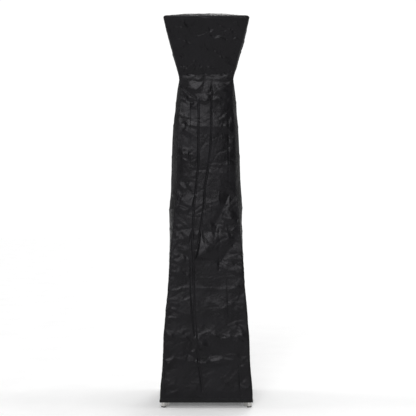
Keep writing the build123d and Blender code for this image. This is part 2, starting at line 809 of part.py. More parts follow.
slider_plane = Plane(back_face(zip_high - 16, 0.6), x_dir=(-1, 0, 0), z_dir=back_out)
pull_pivot = (4.8, 5.0)    # along the zip and out from the slider's plane
bridge_length, bridge_height = 9.5, 7.6
with BuildPart() as zip_slider:
    with BuildSketch(slider_plane) as slider_outline:
        Trapezoid(12, 22, 82)
        fillet(slider_outline.vertices(), 2)
    extrude(amount=2.2)
    with BuildSketch(slider_plane.offset(2.2)):
        with Locations((0, bridge_length / 2)):
            Rectangle(3.2, bridge_length)
    extrude(amount=bridge_height - 2.2)
    with BuildSketch(Plane(slider_plane.from_local_coords((-2, *pull_pivot)), z_dir=slider_plane.x_dir)):
        Circle(1.9)
    extrude(amount=4, mode=Mode.SUBTRACT)
save(zip_slider.part, "zip_slider")

print("zip pull axis at", tuple(round(v, 3) for v in slider_plane.from_local_coords((0, *pull_pivot))))
with BuildPart() as zip_pull:
    with BuildSketch(slider_plane.offset(pull_pivot[1] - 0.8)):
        with Locations((0, pull_pivot[0] + 1.2)):
            RectangleRounded(9, 44, 1.1, align=(Align.CENTER, Align.MAX))
        with Locations((0, pull_pivot[0] - 1.2)):
            Rectangle(5.4, 5.2, align=(Align.CENTER, Align.MAX), mode=Mode.SUBTRACT)
        with Locations((0, -32)):
            SlotOverall(7, 3, rotation=90, mode=Mode.SUBTRACT)
    extrude(amount=1.6)
save(zip_pull.part, "zip_pull")
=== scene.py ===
"""A flame-tower patio heater under its fitted black weather cover.

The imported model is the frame. The cover is built here as two curved sheets that meet at the yoke line: a skirt
below it, and above it a hood that takes in the waist. It has its binding, zip and stitching. The heater's own
parts are the frame's, with materials.
Metres, +Z up, front towards -Y.
"""
import json
import math

import bpy
import numpy as np
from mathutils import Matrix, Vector


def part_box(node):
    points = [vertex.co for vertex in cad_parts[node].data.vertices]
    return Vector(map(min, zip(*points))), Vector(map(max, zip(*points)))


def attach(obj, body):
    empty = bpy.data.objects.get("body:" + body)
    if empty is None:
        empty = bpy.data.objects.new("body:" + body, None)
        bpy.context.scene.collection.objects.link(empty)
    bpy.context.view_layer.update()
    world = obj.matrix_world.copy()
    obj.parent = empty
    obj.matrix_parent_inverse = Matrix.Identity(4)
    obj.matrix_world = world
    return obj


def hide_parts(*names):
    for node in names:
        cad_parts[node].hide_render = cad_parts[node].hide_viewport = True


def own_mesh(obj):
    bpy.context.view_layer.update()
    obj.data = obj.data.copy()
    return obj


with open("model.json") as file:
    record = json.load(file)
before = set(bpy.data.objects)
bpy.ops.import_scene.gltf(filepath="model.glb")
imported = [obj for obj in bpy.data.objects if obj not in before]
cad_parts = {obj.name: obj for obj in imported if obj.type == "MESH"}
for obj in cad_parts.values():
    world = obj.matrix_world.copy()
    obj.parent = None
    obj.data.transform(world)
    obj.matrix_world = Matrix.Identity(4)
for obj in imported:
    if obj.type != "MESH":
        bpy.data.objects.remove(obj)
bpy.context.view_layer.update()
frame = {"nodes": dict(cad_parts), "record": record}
nodes = frame["nodes"]
MM = 0.001

# --- places taken from the frame ---
SKIRT_NODES = [f"cover_{side}_panel" for side in ("front", "right", "left", "back_left", "back_right")]
hem_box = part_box("cover_hem_binding")
top_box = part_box("cover_top_panel")
teeth_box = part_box("cover_zip_teeth")
HEM_Z = hem_box[0][2]
BINDING_OUT = 0.0005         # the binding stands this far out of the cloth
HEM_HALF = hem_box[1][0] - BINDING_OUT
RIM_Z = top_box[0][2]
ZIP_LOW, ZIP_HIGH = teeth_box[0][2], teeth_box[1][2]
WAIST_Z = 1.882
WAIST_HALF = 0.156
SKIRT_SLOPE = (HEM_HALF - WAIST_HALF) / (WAIST_Z - HEM_Z)

YOKE_Z = 1.785             # the cloth is hitched up from here down when the door opens
ZIP_GAP = 0.0032           # from the middle of the zip to either edge of the cloth
ZIP_FLAT = 0.035           # the cloth lies flat about this far to either side of the zip
BACKDROP = 1.05            # brightness of the white backdrop
ROOM_LIGHT = 0.18          # brightness of the room round the object, on the same scale
SKIRT_ROWS = 370
HOOD_ROWS = 70
FRONT, RIGHT, BACK, LEFT = range(4)
COLUMNS = {FRONT: 104, RIGHT: 50, BACK: 60, LEFT: 50}   # grid columns on each side


# --- small tools ---
def curve_through(points):
    """A smooth curve through (position, value) pairs, as a function of numpy arrays."""
    at, value = (np.array(column, float) for column in zip(*sorted(points)))
    slope = np.gradient(value, at)

    def evaluate(x):
        x = np.clip(x, at[0], at[-1])
        k = np.clip(np.searchsorted(at, x) - 1, 0, len(at) - 2)
        span = at[k + 1] - at[k]
        t = (x - at[k]) / span
        h00, h10 = (1 + 2 * t) * (1 - t) ** 2, t * (1 - t) ** 2
        h01, h11 = t * t * (3 - 2 * t), t * t * (t - 1)
        return h00 * value[k] + h10 * span * slope[k] + h01 * value[k + 1] + h11 * span * slope[k + 1]

    return evaluate


def smooth(low, high, x):
    t = np.clip((x - low) / (high - low), 0, 1)
    return t * t * (3 - 2 * t)


def lattice_noise(x, y, seed):
    """Smooth value noise in [-1, 1] at points (x, y), one lattice cell per unit."""
    table = np.random.default_rng(seed).uniform(-1, 1, (64, 64))
    ix, iy = np.floor(x).astype(int), np.floor(y).astype(int)
    fx, fy = x - ix, y - iy
    fx, fy = fx * fx * (3 - 2 * fx), fy * fy * (3 - 2 * fy)

    def corner(dx, dy):
        return table[(ix + dx) % 64, (iy + dy) % 64]

    low = corner(0, 0) * (1 - fx) + corner(1, 0) * fx
    high = corner(0, 1) * (1 - fx) + corner(1, 1) * fx
    return low * (1 - fy) + high * fy


def distance_along(x, z, points):
    """Signed distance of (x, z) from a polyline, positive on its left, and how far along it, from 0 to 1."""
    line = np.array(points, float)
    spans = np.hypot(*np.diff(line, axis=0).T)
    total, gone = spans.sum(), 0.0
    best = np.full(x.shape, np.inf)
    signed, along = np.zeros(x.shape), np.zeros(x.shape)
    for (ax, az), (bx, bz), span in zip(line[:-1], line[1:], spans):
        dx, dz = (bx - ax) / span, (bz - az) / span
        run = (x - ax) * dx + (z - az) * dz
        side = (z - az) * dx - (x - ax) * dz
        held = np.clip(run, 0, span)
        far = np.hypot(run - held, side)
        nearer = far < best
        best = np.where(nearer, far, best)
        signed = np.where(nearer, np.where(side < 0, -far, far), signed)
        along = np.where(nearer, (gone + held) / total, along)
        gone += span
    return signed, along


def crease(x, z, points, height, left, right, ends=0.12):
    """A fold line: its crest has that height and falls away over left and right on its two sides."""
    side, along = distance_along(x, z, points)
    width = np.where(side > 0, left, right)
    soft = np.sqrt(side * side + (0.12 * np.minimum(left, right)) ** 2)
    fade = smooth(0, ends, along) * smooth(0, ends, 1 - along)
    return height * np.exp(-soft / width) * fade


def dent(x, z, centre, size, angle, height):
    """A low elliptical swelling or hollow with a firm edge."""
    turn = math.radians(angle)
    u = (x - centre[0]) * math.cos(turn) + (z - centre[1]) * math.sin(turn)
    v = -(x - centre[0]) * math.sin(turn) + (z - centre[1]) * math.cos(turn)
    return height * np.clip(1 - np.hypot(u / size[0], v / size[1]), 0, None)


def facets(x, z, outline, apex, height):
    """A flat-sided bump over a convex outline, rising to an apex inside it."""
    rise = np.full(x.shape, np.inf)
    for (ax, az), (bx, bz) in zip(outline, outline[1:] + outline[:1]):
        inward = (az - bz, bx - ax)
        reach = (apex[0] - ax) * inward[0] + (apex[1] - az) * inward[1]
        rise = np.minimum(rise, ((x - ax) * inward[0] + (z - az) * inward[1]) / reach)
    return height * np.clip(rise, 0, None)


def groove(x, z, points, depth, half_width):
    """A narrow valley that fades at its ends."""
    side, along = distance_along(x, z, points)
    return -depth * np.exp(-(side / half_width) ** 2) * smooth(0, 0.08, along) * smooth(0, 0.08, 1 - along)


def crumple(x, z, seed, count, box, length, height, width):
    """Many small random fold lines in a box of (x low, x high, z low, z high)."""
    draw = np.random.default_rng(seed)
    total = np.zeros(x.shape)
    for _ in range(count):
        cx, cz = draw.uniform(box[0], box[1]), draw.uniform(box[2], box[3])
        turn = draw.uniform(0, math.pi)
        half = draw.uniform(0.4, 1.0) * length / 2
        rise = draw.uniform(0.3, 1.0) * height * draw.choice([-1, 1])
        broad = draw.uniform(0.6, 1.4) * width
        near = (np.abs(x - cx) < half + 5 * broad) & (np.abs(z - cz) < half + 5 * broad)
        u = (x[near] - cx) * math.cos(turn) + (z[near] - cz) * math.sin(turn)
        v = -(x[near] - cx) * math.sin(turn) + (z[near] - cz) * math.cos(turn)
        v = v + 0.12 * u * u / half
        fall = np.exp(-np.sqrt(v * v + (0.15 * broad) ** 2) / np.where(v > 0, broad, 0.5 * broad))
        total[near] += rise * fall * np.exp(-(u / half) ** 2)
    return total


def seam_pleats(x, z, half, seed, count, low, high, height):
    """Short folds that start at a side's two seams and run in at a slant; half is the side's half width."""
    draw = np.random.default_rng(seed)
    total = np.zeros(x.shape)
    for _ in range(count):
        level, sign = draw.uniform(low, high), draw.choice([-1, 1])
        slant, long = math.radians(draw.uniform(-50, 50)), draw.uniform(0.03, 0.11)
        start = sign * (float(half(level)) - draw.uniform(0.0, 0.02))
        end = (start - sign * long * math.cos(slant), level + long * math.sin(slant))
        broad, rise = draw.uniform(0.004, 0.009), draw.uniform(0.4, 1.0) * height * draw.choice([-1, 1])
        near = (np.abs(x - (start + end[0]) / 2) < long) & (np.abs(z - level) < long + 0.02)
        if near.any():
            line = [(start, level), end]
            total[near] += crease(x[near], z[near], line, rise, broad, 2.2 * broad, ends=0.35)
    return total


# --- the cover's outline ---
# half width at the corners, by height
corner_half = curve_through([
    (0.030, 0.2635), (0.100, 0.2615), (0.200, 0.2525), (0.270, 0.2480), (0.400, 0.2440), (0.470, 0.2375),
    (0.540, 0.2335), (0.675, 0.2210), (0.810, 0.2125), (0.900, 0.2050), (0.995, 0.1940), (1.137, 0.1825),
    (1.234, 0.1715), (1.465, 0.1675), (1.616, 0.1620), (1.767, 0.1525), (1.882, 0.1560),
])
# how far the middle of a side stands out past its corners
side_bulge = curve_through([
    (0.030, 0.0), (0.400, 0.001), (0.800, 0.003), (0.941, 0.015), (1.083, 0.029), (1.155, 0.033),
    (1.261, 0.038), (1.369, 0.035), (1.476, 0.031), (1.583, 0.029), (1.690, 0.027), (1.798, 0.021),
    (1.850, 0.011), (1.882, 0.0),
])
# the front lies flatter than the sides, and the back is held straight by its zip
BULGE_SHARE = {FRONT: 0.55, RIGHT: 0.88, LEFT: 1.14, BACK: 0.45}


def side_point(side, across, out, z):
    """A point of one side from its place across it, its distance out from the axis, and its height."""
    x, y = {
        FRONT: (across, -out),
        RIGHT: (out, across),
        BACK: (-across, out),
        LEFT: (-out, -across),
    }[side]
    return np.stack([x, y, z], axis=-1)


# --- fold lines and facets of the cover ---
# Each side is described as seen from outside: across to the right, then height. Metres.
# narrow grooves where the cloth was folded flat for packing, as (points, depth, half width)
FRONT_GROOVES = [
    ([(-0.045, 1.79), (-0.046, 1.38), (-0.061, 1.23), (-0.072, 1.13), (-0.077, 1.00), (-0.084, 0.84)],
     0.0034, 0.0034),
    ([(0.031, 1.87), (0.031, 1.63), (0.023, 1.46), (0.005, 1.33), (-0.008, 1.25), (-0.010, 1.17),
      (-0.034, 1.00), (-0.053, 0.86), (-0.062, 0.81)], 0.0038, 0.0034),
    ([(-0.090, 0.87), (-0.088, 0.70), (-0.080, 0.55), (-0.064, 0.38)], 0.0038, 0.0042),
    ([(-0.074, 0.93), (-0.074, 0.70), (-0.068, 0.52), (-0.058, 0.40), (-0.045, 0.27), (-0.015, 0.05)],
     0.0048, 0.0046),
    ([(-0.096, 1.77), (-0.097, 1.37)], 0.0014, 0.0040),
    ([(0.128, 1.66), (0.129, 1.26)], 0.0014, 0.0044),
    ([(0.074, 0.92), (0.073, 0.77)], 0.0036, 0.0055),
    ([(-0.235, 0.26), (-0.228, 0.07)], 0.0028, 0.0060),
    ([(0.186, 0.26), (0.198, 0.06)], 0.0028, 0.0060),
    ([(0.120, 0.74), (0.128, 0.50)], 0.0014, 0.0060),
    ([(-0.150, 1.84), (-0.105, 1.80), (-0.055, 1.76)], 0.0050, 0.0055),
    ([(-0.140, 1.81), (-0.110, 1.75), (-0.070, 1.735)], 0.0030, 0.0050),
]
# softer folds, as (points, height, left width, right width); a negative height is a valley
FRONT_FOLDS = [
    ([(-0.110, 1.775), (0.000, 1.748), (0.095, 1.768)], 0.0040, 0.014, 0.022),
    ([(-0.130, 1.612), (-0.040, 1.603), (0.050, 1.600), (0.140, 1.606)], 0.0034, 0.009, 0.022),
    ([(0.150, 1.858), (0.070, 1.820), (0.038, 1.780)], 0.0045, 0.024, 0.014),
    ([(-0.160, 1.485), (-0.130, 1.435), (-0.100, 1.448)], 0.0036, 0.011, 0.012),
    ([(0.142, 1.235), (0.105, 1.152), (0.057, 1.055), (0.030, 1.020)], -0.0080, 0.040, 0.022),
    ([(0.190, 0.968), (0.142, 0.910), (0.104, 0.862), (0.070, 0.800)], -0.0080, 0.040, 0.022),
    ([(-0.150, 1.200), (-0.090, 1.240)], -0.0060, 0.030, 0.018),
    ([(-0.190, 0.905), (-0.130, 0.862), (-0.095, 0.848)], -0.0050, 0.020, 0.014),
    ([(-0.175, 0.775), (-0.130, 0.756), (-0.098, 0.738)], 0.0038, 0.011, 0.020),
    ([(-0.205, 0.672), (-0.090, 0.676), (0.080, 0.668), (0.215, 0.674)], 0.0020, 0.008, 0.018),
    ([(-0.130, 0.432), (-0.080, 0.372), (-0.050, 0.330)], -0.0050, 0.014, 0.022),
    ([(-0.062, 0.405), (-0.020, 0.350), (0.020, 0.330)], 0.0050, 0.026, 0.012),
    ([(0.020, 0.425), (0.080, 0.388), (0.150, 0.396)], 0.0034, 0.012, 0.020),
    ([(-0.240, 0.258), (-0.180, 0.278), (-0.110, 0.264)], 0.0040, 0.014, 0.014),
    ([(0.010, 0.252), (0.090, 0.276), (0.170, 0.262)], 0.0038, 0.014, 0.014),
    ([(-0.110, 0.264), (-0.040, 0.246), (0.010, 0.252)], 0.0024, 0.012, 0.012),
    ([(-0.120, 0.620), (-0.090, 0.560), (-0.100, 0.480)], 0.0030, 0.018, 0.012),
    ([(0.000, 0.620), (0.090, 0.560), (0.160, 0.590)], 0.0024, 0.014, 0.026),
]
# flat-sided bumps: (outline anticlockwise from outside, apex, height)
FRONT_FACETS = [
    ([(-0.030, 0.996), (-0.066, 0.828), (0.060, 0.835), (0.150, 0.930), (0.088, 0.990)],
     (-0.048, 0.856), 0.0225),
    ([(-0.166, 1.014), (-0.160, 0.950), (-0.100, 0.925), (-0.080, 1.014)], (-0.098, 0.968), 0.0076),
    ([(-0.075, 1.002), (-0.078, 0.952), (-0.042, 0.955), (-0.037, 1.002)], (-0.055, 0.972), 0.0054),
    ([(0.092, 1.134), (0.085, 1.075), (0.130, 1.030), (0.176, 1.056), (0.170, 1.112)],
     (0.146, 1.068), 0.0095),
    ([(0.080, 0.988), (0.100, 0.935), (0.165, 0.948), (0.180, 0.984)], (0.128, 0.958), 0.0060),
    ([(-0.170, 1.146), (-0.165, 1.096), (-0.105, 1.100), (-0.080, 1.140)], (-0.118, 1.116), 0.0055),
    ([(-0.130, 1.152), (-0.104, 1.116), (-0.074, 1.128), (-0.070, 1.205)], (-0.086, 1.142), 0.0070),
    ([(-0.040, 1.786), (-0.044, 1.738), (0.000, 1.728), (0.026, 1.752), (0.020, 1.792)],
     (-0.006, 1.746), 0.0070),
    ([(-0.120, 1.868), (-0.125, 1.826), (-0.070, 1.790), (-0.024, 1.800), (-0.010, 1.862)],
     (-0.060, 1.812), 0.0058),
    ([(0.040, 1.862), (0.042, 1.800), (0.120, 1.790), (0.145, 1.850)], (0.085, 1.806), 0.0058),
    ([(-0.098, 1.748), (-0.096, 1.706), (-0.052, 1.700), (-0.050, 1.742)], (-0.076, 1.714), 0.0050),
    ([(-0.236, 0.446), (-0.238, 0.396), (-0.180, 0.384), (-0.176, 0.430)], (-0.212, 0.404), 0.0062),
    ([(-0.166, 0.434), (-0.160, 0.388), (-0.098, 0.368), (-0.082, 0.414), (-0.110, 0.440)],
     (-0.118, 0.394), 0.0074),
    ([(-0.058, 0.402), (-0.070, 0.336), (-0.010, 0.314), (0.016, 0.352), (-0.010, 0.396)],
     (-0.034, 0.338), 0.0105),
    ([(0.186, 0.466), (0.176, 0.406), (0.232, 0.370), (0.240, 0.424)], (0.208, 0.400), 0.0078),
    ([(-0.242, 0.268), (-0.240, 0.230), (-0.190, 0.244), (-0.180, 0.278)], (-0.216, 0.248), 0.0040),
    ([(0.014, 0.270), (0.020, 0.232), (0.120, 0.240), (0.160, 0.270), (0.080, 0.288)],
     (0.076, 0.250), 0.0055),
]
# the same cloth was folded through, so the other sides share the packing creases, shifted a little
SIDE_FOLD_PLACES = {
    RIGHT: (-0.095, -0.020, 0.052, 0.108),
    LEFT: (-0.112, -0.048, 0.028, 0.100),
    BACK: (-0.120, -0.062, 0.070, 0.128),
}
# the right and left sides make the cover's outline, and are drawn smoother by the folds at their corners
DETAIL_SHARE = {FRONT: 1.0, RIGHT: 0.52, BACK: 0.9, LEFT: 0.52}
HOOD_SHARE = {FRONT: 1.3, RIGHT: 0.6, BACK: 1.2, LEFT: 0.6}
FRONT_CRUMPLES, OTHER_CRUMPLES = 120, 190    # long random fold lines; there are twice as many short ones
CRUMPLED_HEIGHTS = (1.79, 1.15, 1.00, 0.42, 0.28)
CROSS_HEIGHTS = (1.760, 1.618, 1.440, 1.130, 1.005, 0.860, 0.672, 0.420, 0.270)


def front_folds(x, z):
    """The front's own folds, facets and grooves."""
    out = np.zeros(x.shape)
    for points, height, left, right in FRONT_FOLDS:
        out += crease(x, z, points, height, left, right)
    for outline, apex, height in FRONT_FACETS:
        out += facets(x, z, outline, apex, height)
    for points, depth, half_width in FRONT_GROOVES:
        out += groove(x, z, points, depth, half_width)
    return out


def drawn_folds(side, x, z):
    """The packing creases, cross folds and dents of another side, drawn at random about their usual places."""
    draw = np.random.default_rng(40 + side)
    out = np.zeros(x.shape)
    for place in SIDE_FOLD_PLACES[side]:
        levels = np.linspace(1.80, 0.10, 8)
        spread = corner_half(levels) / 0.18
        line = [(place * s + draw.uniform(-0.008, 0.008), level) for s, level in zip(spread, levels)]
        cut = draw.integers(0, 3)
        deep = draw.uniform(0.0020, 0.0045)
        out += crease(x, z, line[cut:], -deep, draw.uniform(0.008, 0.03), draw.uniform(0.008, 0.03))
    for level in CROSS_HEIGHTS:
        half = float(corner_half(level)) * draw.uniform(0.55, 0.95)
        middle = draw.uniform(-0.3, 0.3) * half
        line = [
            (middle - half, level + draw.uniform(-0.012, 0.012)),
            (middle, level + draw.uniform(-0.010, 0.010)),
            (middle + half, level + draw.uniform(-0.012, 0.012)),
        ]
        out += crease(x, z, line, draw.uniform(0.003, 0.006), 0.006, draw.uniform(0.012, 0.024))
    for _ in range(12):
        level = draw.uniform(0.25, 1.70)
        centre = (draw.uniform(-0.6, 0.6) * float(corner_half(level)), level)
        size = (draw.uniform(0.03, 0.08), draw.uniform(0.04, 0.12))
        angle = draw.uniform(-50, 50)
        out += dent(x, z, centre, size, angle, draw.choice([-1, 1]) * draw.uniform(0.004, 0.010))
    return out


def side_details(side, x, z):
    """How far the skirt of one side stands out of its smooth shape at (x, z)."""
    out = front_folds(x, z) if side == FRONT else drawn_folds(side, x, z)
    count = FRONT_CRUMPLES if side == FRONT else OTHER_CRUMPLES
    box = (-0.24, 0.24, 0.06, 1.87)
    # in each call, the number that the side is added to is the seed
    out += seam_pleats(x, z, corner_half, 47 + side, 170, 0.06, 1.85, 0.0030)
    out += crumple(x, z, 7 + side, count, box, 0.17, 0.0020, 0.009)
    out += crumple(x, z, 17 + side, 2 * count, box, 0.09, 0.0009, 0.0050)
    for level in CRUMPLED_HEIGHTS:
        band_box = (-0.22, 0.22, level - 0.07, level + 0.05)
        out += crumple(x, z, int(1000 * level) + side, 30, band_box, 0.09, 0.0024, 0.0075)
    out += 0.0022 * lattice_noise(x / 0.11, z / 0.19, 27 + side)
    out += 0.0012 * lattice_noise(x / 0.045 + 9, z / 0.07, 37 + side)
    return out * DETAIL_SHARE[side]


def corner_pucker(z, seed):
    """Small gathers where the cloth is sewn along a corner seam."""
    broad = lattice_noise(z / 0.021, z * 0 + seed, 60 + seed)
    fine = lattice_noise(z / 0.011, z * 0 + 3, 70 + seed)
    strength = 0.55 + 0.45 * lattice_noise(z / 0.16, z * 0, 80 + seed)
    return 0.0019 * (broad + 0.6 * fine) * strength


HOOD_CREASES = {
    FRONT: [
        ([(-0.025, 2.145), (-0.024, 2.045), (-0.030, 1.93)], -0.0040, 0.010, 0.016),
        ([(0.028, 2.130), (0.045, 2.030)], -0.0036, 0.012, 0.010),
        ([(0.045, 2.030), (0.100, 1.975), (0.140, 1.950)], 0.0040, 0.014, 0.008),
        ([(-0.140, 1.905), (-0.098, 1.945), (-0.060, 1.980)], 0.0060, 0.006, 0.012),
        ([(-0.115, 1.905), (-0.060, 1.955)], -0.0040, 0.007, 0.007),
        ([(-0.065, 2.100), (0.000, 2.125), (0.050, 2.095), (0.110, 2.120)], 0.0045, 0.008, 0.016),
        ([(0.010, 2.180), (0.060, 2.120), (0.130, 2.095)], -0.0036, 0.012, 0.008),
        ([(0.125, 2.160), (0.165, 2.060)], 0.0030, 0.012, 0.008),
        ([(-0.185, 2.170), (-0.125, 2.090), (-0.110, 2.010)], 0.0030, 0.014, 0.010),
        ([(-0.130, 1.900), (0.000, 1.906), (0.130, 1.900)], -0.0030, 0.008, 0.018),
    ],
}


def hood_details(side, x, z):
    """The same for a face of the hood, pulled tight between the reflector's corners and the waist."""
    draw = np.random.default_rng(90 + side)
    out = np.zeros(x.shape)
    if side in HOOD_CREASES:
        for points, height, left, right in HOOD_CREASES[side]:
            out += crease(x, z, points, height, left, right)
    else:
        for _ in range(9):
            x_low, x_high = draw.uniform(-0.12, 0.12), draw.uniform(-0.19, 0.19)
            line = [(x_low, draw.uniform(1.90, 1.98)), (x_high, draw.uniform(2.06, 2.18))]
            out += crease(x, z, line, draw.choice([-1, 1]) * draw.uniform(0.002, 0.005), 0.012, 0.008)
    box = (-0.22, 0.22, 1.89, 2.21)
    out += seam_pleats(x, z, hood_corner, 137 + side, 46, 1.90, 2.19, 0.0030)
    out += crumple(x, z, 107 + side, 90, box, 0.12, 0.0036, 0.008)
    out += crumple(x, z, 117 + side, 170, box, 0.07, 0.0020, 0.0045)
    out += 0.0022 * lattice_noise(x / 0.06, z / 0.08, 127 + side)
    return out * HOOD_SHARE[side]


# --- the cover's two sheets ---
def mesh_piece(name, points, faces, material):
    """A new smooth piece that rides on the cover."""
    mesh = bpy.data.meshes.new(name)
    corners = np.asarray(points, float).reshape(-1, 3)
    mesh.from_pydata(corners.tolist(), [], [list(map(int, face)) for face in faces])
    mesh.update()
    mesh.shade_smooth()
    piece = bpy.data.objects.new(name, mesh)
    bpy.context.scene.collection.objects.link(piece)
    mesh.materials.append(material)
    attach(piece, "cover")
    return piece


def round_order():
    """The sides and the places across them, once round from the zip's left edge to its right edge."""
    half = COLUMNS[BACK] // 2
    order = [(BACK, np.linspace(0, 1, half + 1)[:-1])]
    order += [(side, np.linspace(-1, 1, COLUMNS[side] + 1)[:-1]) for side in (LEFT, FRONT, RIGHT)]
    return order + [(BACK, np.linspace(-1, 0, half + 1))]


def round_corner(t, half, radius):
    """Place across and distance out on one side of a square with rounded corners; t runs from -1 to 1."""
    s, flat = np.abs(t) * half, half - radius
    turn = np.clip((s - flat) / np.maximum(radius, 1e-6), 0, 1) * math.pi / 4
    beyond = s > flat
    across = np.where(beyond, flat + radius * np.sin(turn), s)
    out = np.where(beyond, flat + radius * np.cos(turn), half)
    return np.sign(t) * across, out


SEAM_OF = {BACK: (2, 1), LEFT: (1, 0), FRONT: (0, 3), RIGHT: (3, 2)}   # at a side's low and high ends


def seam_gathers(side, t, z, half):
    """The gathers of the nearer corner seam, fading into the side."""
    low, high = (corner_pucker(z, seam) for seam in SEAM_OF[side])
    near = np.exp(-(1 - np.abs(t)) * half / 0.014)
    return np.where(t < 0, low, high) * near


def seam_ridge(t, half):
    """The pinched ridge of a corner seam."""
    return 0.0013 * np.exp(-((1 - np.abs(t)) * half / 0.003) ** 2)


def waist_wander(side, t, z):
    """How far the waist seam strays from level, fading away from it; the back stays level at its zip."""
    wander = lattice_noise(t * 3.1 + 7 * side, 0 * t + 0.5, 147) * (1 - np.abs(t) ** 4)
    if side == BACK:
        wander = wander * smooth(0.15, 0.45, np.abs(t))
    return 0.0150 * wander * np.exp(-((z - WAIST_Z) / 0.030) ** 2)


def waist_fullness(side, t, z):
    """The cloth gathered into the waist seam rounds out of it unevenly between the corners."""
    uneven = 0.55 + 0.45 * lattice_noise(t * 4.3 + 11 * side, 0 * t + 2.5, 157)
    if side == BACK:
        uneven = uneven * smooth(0.25, 0.55, np.abs(t))
    if side in (LEFT, RIGHT):
        uneven = 0.35 * uneven
    return 0.0075 * uneven * (1 - np.abs(t) ** 6) * np.exp(-((WAIST_Z - z) / 0.020) ** 2)


def skirt_sheet(rows):
    """Points of the skirt from the hem up to the waist, as rows of one round each."""
    z = np.linspace(HEM_Z + 0.001, WAIST_Z, rows + 1)[:, None]
    corner = corner_half(z)
    waist_fade = 0.6 + 0.4 * smooth(0, 0.030, WAIST_Z - z)
    hem_fade = 0.30 + 0.70 * smooth(0, 0.10, z - HEM_Z)
    radius = 0.004 + 0.007 * smooth(1.0, 0.8, z)
    straight = WAIST_HALF + SKIRT_SLOPE * (WAIST_Z - z)
    blocks = []
    for side, places in round_order():
        t = places[None, :]
        across, out = round_corner(t, corner, radius)
        details = side_details(side, t * corner, z + 0 * t)
        out = out + side_bulge(z) * BULGE_SHARE[side] * (1 - np.abs(t) ** 2.4)
        out = out + details * (1 - np.abs(t) ** 12) * waist_fade * hem_fade + waist_fullness(side, t, z)
        gathers = (seam_gathers(side, t, z, corner) + seam_ridge(t, corner)) * smooth(0, 0.030, WAIST_Z - z)
        out, across = out + gathers, across + np.sign(t) * gathers
        if side == BACK:
            near_zip = np.exp(-(across / ZIP_FLAT) ** 2)
            out = out * (1 - near_zip) + straight * near_zip
        blocks.append(side_point(side, across, out, z + waist_wander(side, t, z)))
    grid = np.concatenate(blocks, axis=1)
    gap = ZIP_GAP * smooth(-0.002, 0.006, ZIP_HIGH - z[:, 0]) * smooth(-0.002, 0.006, z[:, 0] - ZIP_LOW)
    grid[:, 0, 0] -= gap
    grid[:, -1, 0] += gap
    return grid


# how far the cloth may dent inwards before it meets the reflector: heights, and the room at each
REFLECTOR_ROOM = ((2.05, 2.15, 2.18), (0.020, 0.006, 0.0008))
# the hood's half width at its corners, by height
hood_corner = curve_through([
    (1.882, 0.156), (1.916, 0.1625), (1.982, 0.1803), (2.048, 0.1992), (2.145, 0.2266), (2.2155, 0.2455),
])
# the top's profile from the rim inwards, as half width and height: a chamfer, then a low crown
TOP_CHAMFER = [(0.2450, 2.2180), (0.2438, 2.2215), (0.2412, 2.2250), (0.2378, 2.2275), (0.2310, 2.2290)]
top_crown = curve_through([
    (0.2310, 2.2290), (0.2230, 2.2308), (0.2140, 2.2334), (0.1840, 2.2429), (0.1540, 2.2531), (0.1440, 2.2563),
    (0.1340, 2.2590), (0.1240, 2.2610), (0.1040, 2.2635), (0.0740, 2.2663), (0.0440, 2.2684), (0.0240, 2.2693),
    (0.0050, 2.2697),
])
crown_rings = [0.2230, *np.linspace(0.2140, 0.0140, 21), 0.0050]
TOP_PROFILE = TOP_CHAMFER + [(half, float(top_crown(half))) for half in crown_rings]
TOP_FOLDS = [
    ([(-0.230, 0.030), (0.000, 0.024), (0.228, 0.034)], 0.0030),
    ([(0.018, -0.228), (0.026, 0.000), (0.014, 0.228)], 0.0030),
    ([(-0.226, -0.226), (-0.120, -0.116)], 0.0024),
    ([(0.226, 0.224), (0.118, 0.122)], 0.0024),
]


def top_wrinkles(x, y):
    """Shallow wrinkles of the top, which rests on the reflector."""
    box = (-0.24, 0.24, -0.24, 0.24)
    waves = crumple(x, y, 207, 50, box, 0.16, 0.0022, 0.010)
    waves += crumple(x, y, 217, 90, box, 0.07, 0.0012, 0.005)
    for points, height in TOP_FOLDS:
        waves += crease(x, y, points, height, 0.012, 0.007)
    return waves


def hood_sheet(rows, first_row):
    """Points of the hood from the waist over the rim to the middle of the top."""
    z = np.linspace(WAIST_Z, RIM_Z, rows + 1)[1:, None]
    half = hood_corner(z)
    fade = smooth(0, 0.030, z - WAIST_Z) * smooth(0, 0.014, RIM_Z + 0.004 - z)
    radius = 0.004 + 0.010 * smooth(WAIST_Z, 2.06, z)
    ring_half, ring_z = (np.array(column)[:, None] for column in zip(*TOP_PROFILE))
    ring_radius = np.minimum(0.014 + 0.3 * (0.2455 - ring_half), 0.9 * ring_half)
    face_blocks, top_blocks = [], []
    for side, places in round_order():
        t = places[None, :]
        across, out = round_corner(t, half, radius)
        details = hood_details(side, t * half, z + 0 * t)
        gathers = (0.8 * seam_gathers(side, t, z, half) + seam_ridge(t, half)) * fade
        room = np.interp(z, *REFLECTOR_ROOM)
        out = out + np.maximum(details * (1 - np.abs(t) ** 12) * fade, -room) + gathers
        face_blocks.append(side_point(side, across + np.sign(t) * gathers, out, z + 0 * t))
        across, out = round_corner(t, ring_half, ring_radius)
        ring = side_point(side, across, out, ring_z + 0 * t)
        ring[..., 2] += top_wrinkles(ring[..., 0], ring[..., 1]) * smooth(0.236, 0.205, ring_half) * 0.8
        top_blocks.append(ring)
    face, top = np.concatenate(face_blocks, axis=1), np.concatenate(top_blocks, axis=1)
    plain = np.concatenate([
        side_point(side, *round_corner(places, WAIST_HALF, 0.004), WAIST_Z + 0 * places)
        for side, places in round_order()
    ])
    face += (first_row - plain) * np.exp(-(z - WAIST_Z) / 0.022)[..., None]
    return np.concatenate([first_row[None], face, top], axis=0)


